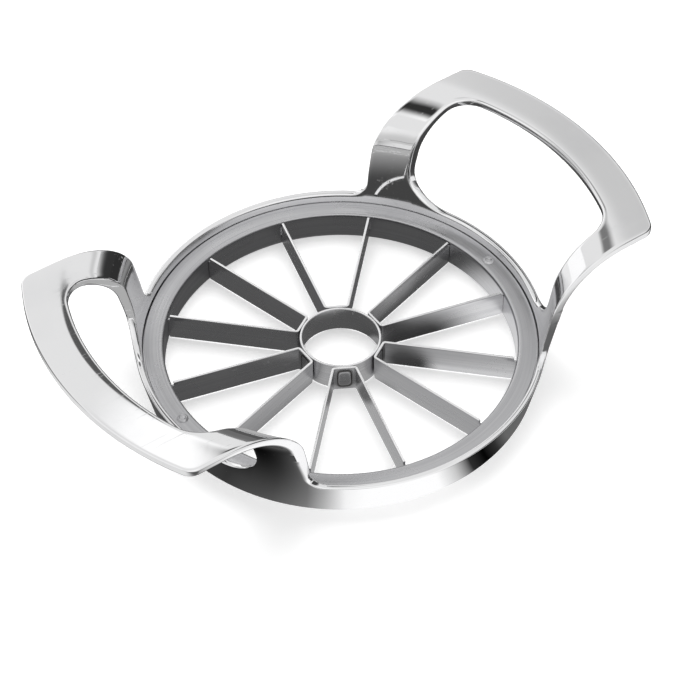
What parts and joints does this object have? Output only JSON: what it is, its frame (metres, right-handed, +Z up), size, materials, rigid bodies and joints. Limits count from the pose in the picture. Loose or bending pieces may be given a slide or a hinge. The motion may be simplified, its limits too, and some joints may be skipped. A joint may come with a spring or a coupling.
{
  "type": "apple slicer and corer",
  "caption": "Hand-pressed apple slicer and corer with raised loop handles, a blade ring, a core tube and folded blade strips.",
  "frame": {"origin": "middle of the ring, on the surface that the foot stands on", "axes": "+X along the line of the two handles, +Y across it in the plane of the ring, +Z up along the core tube"},
  "size_m": [0.1726, 0.116, 0.0421],
  "materials": {
    "cast_frame": "polished",
    "ring_steel": "satin",
    "blade_steel": "fine ground",
    "tube_steel": "fine ground",
    "rivet_steel": "polished"
  },
  "bodies": {
    "root": {"handle_frame": "cast_frame", "blade_ring": "ring_steel", "core_tube": "tube_steel", "blade_strip_1": "blade_steel", "blade_strip_2": "blade_steel", "blade_strip_3": "blade_steel", "blade_strip_4": "blade_steel", "blade_strip_5": "blade_steel", "blade_strip_6": "blade_steel", "ring_rivets": "rivet_steel"}
  },
  "joints": []
}
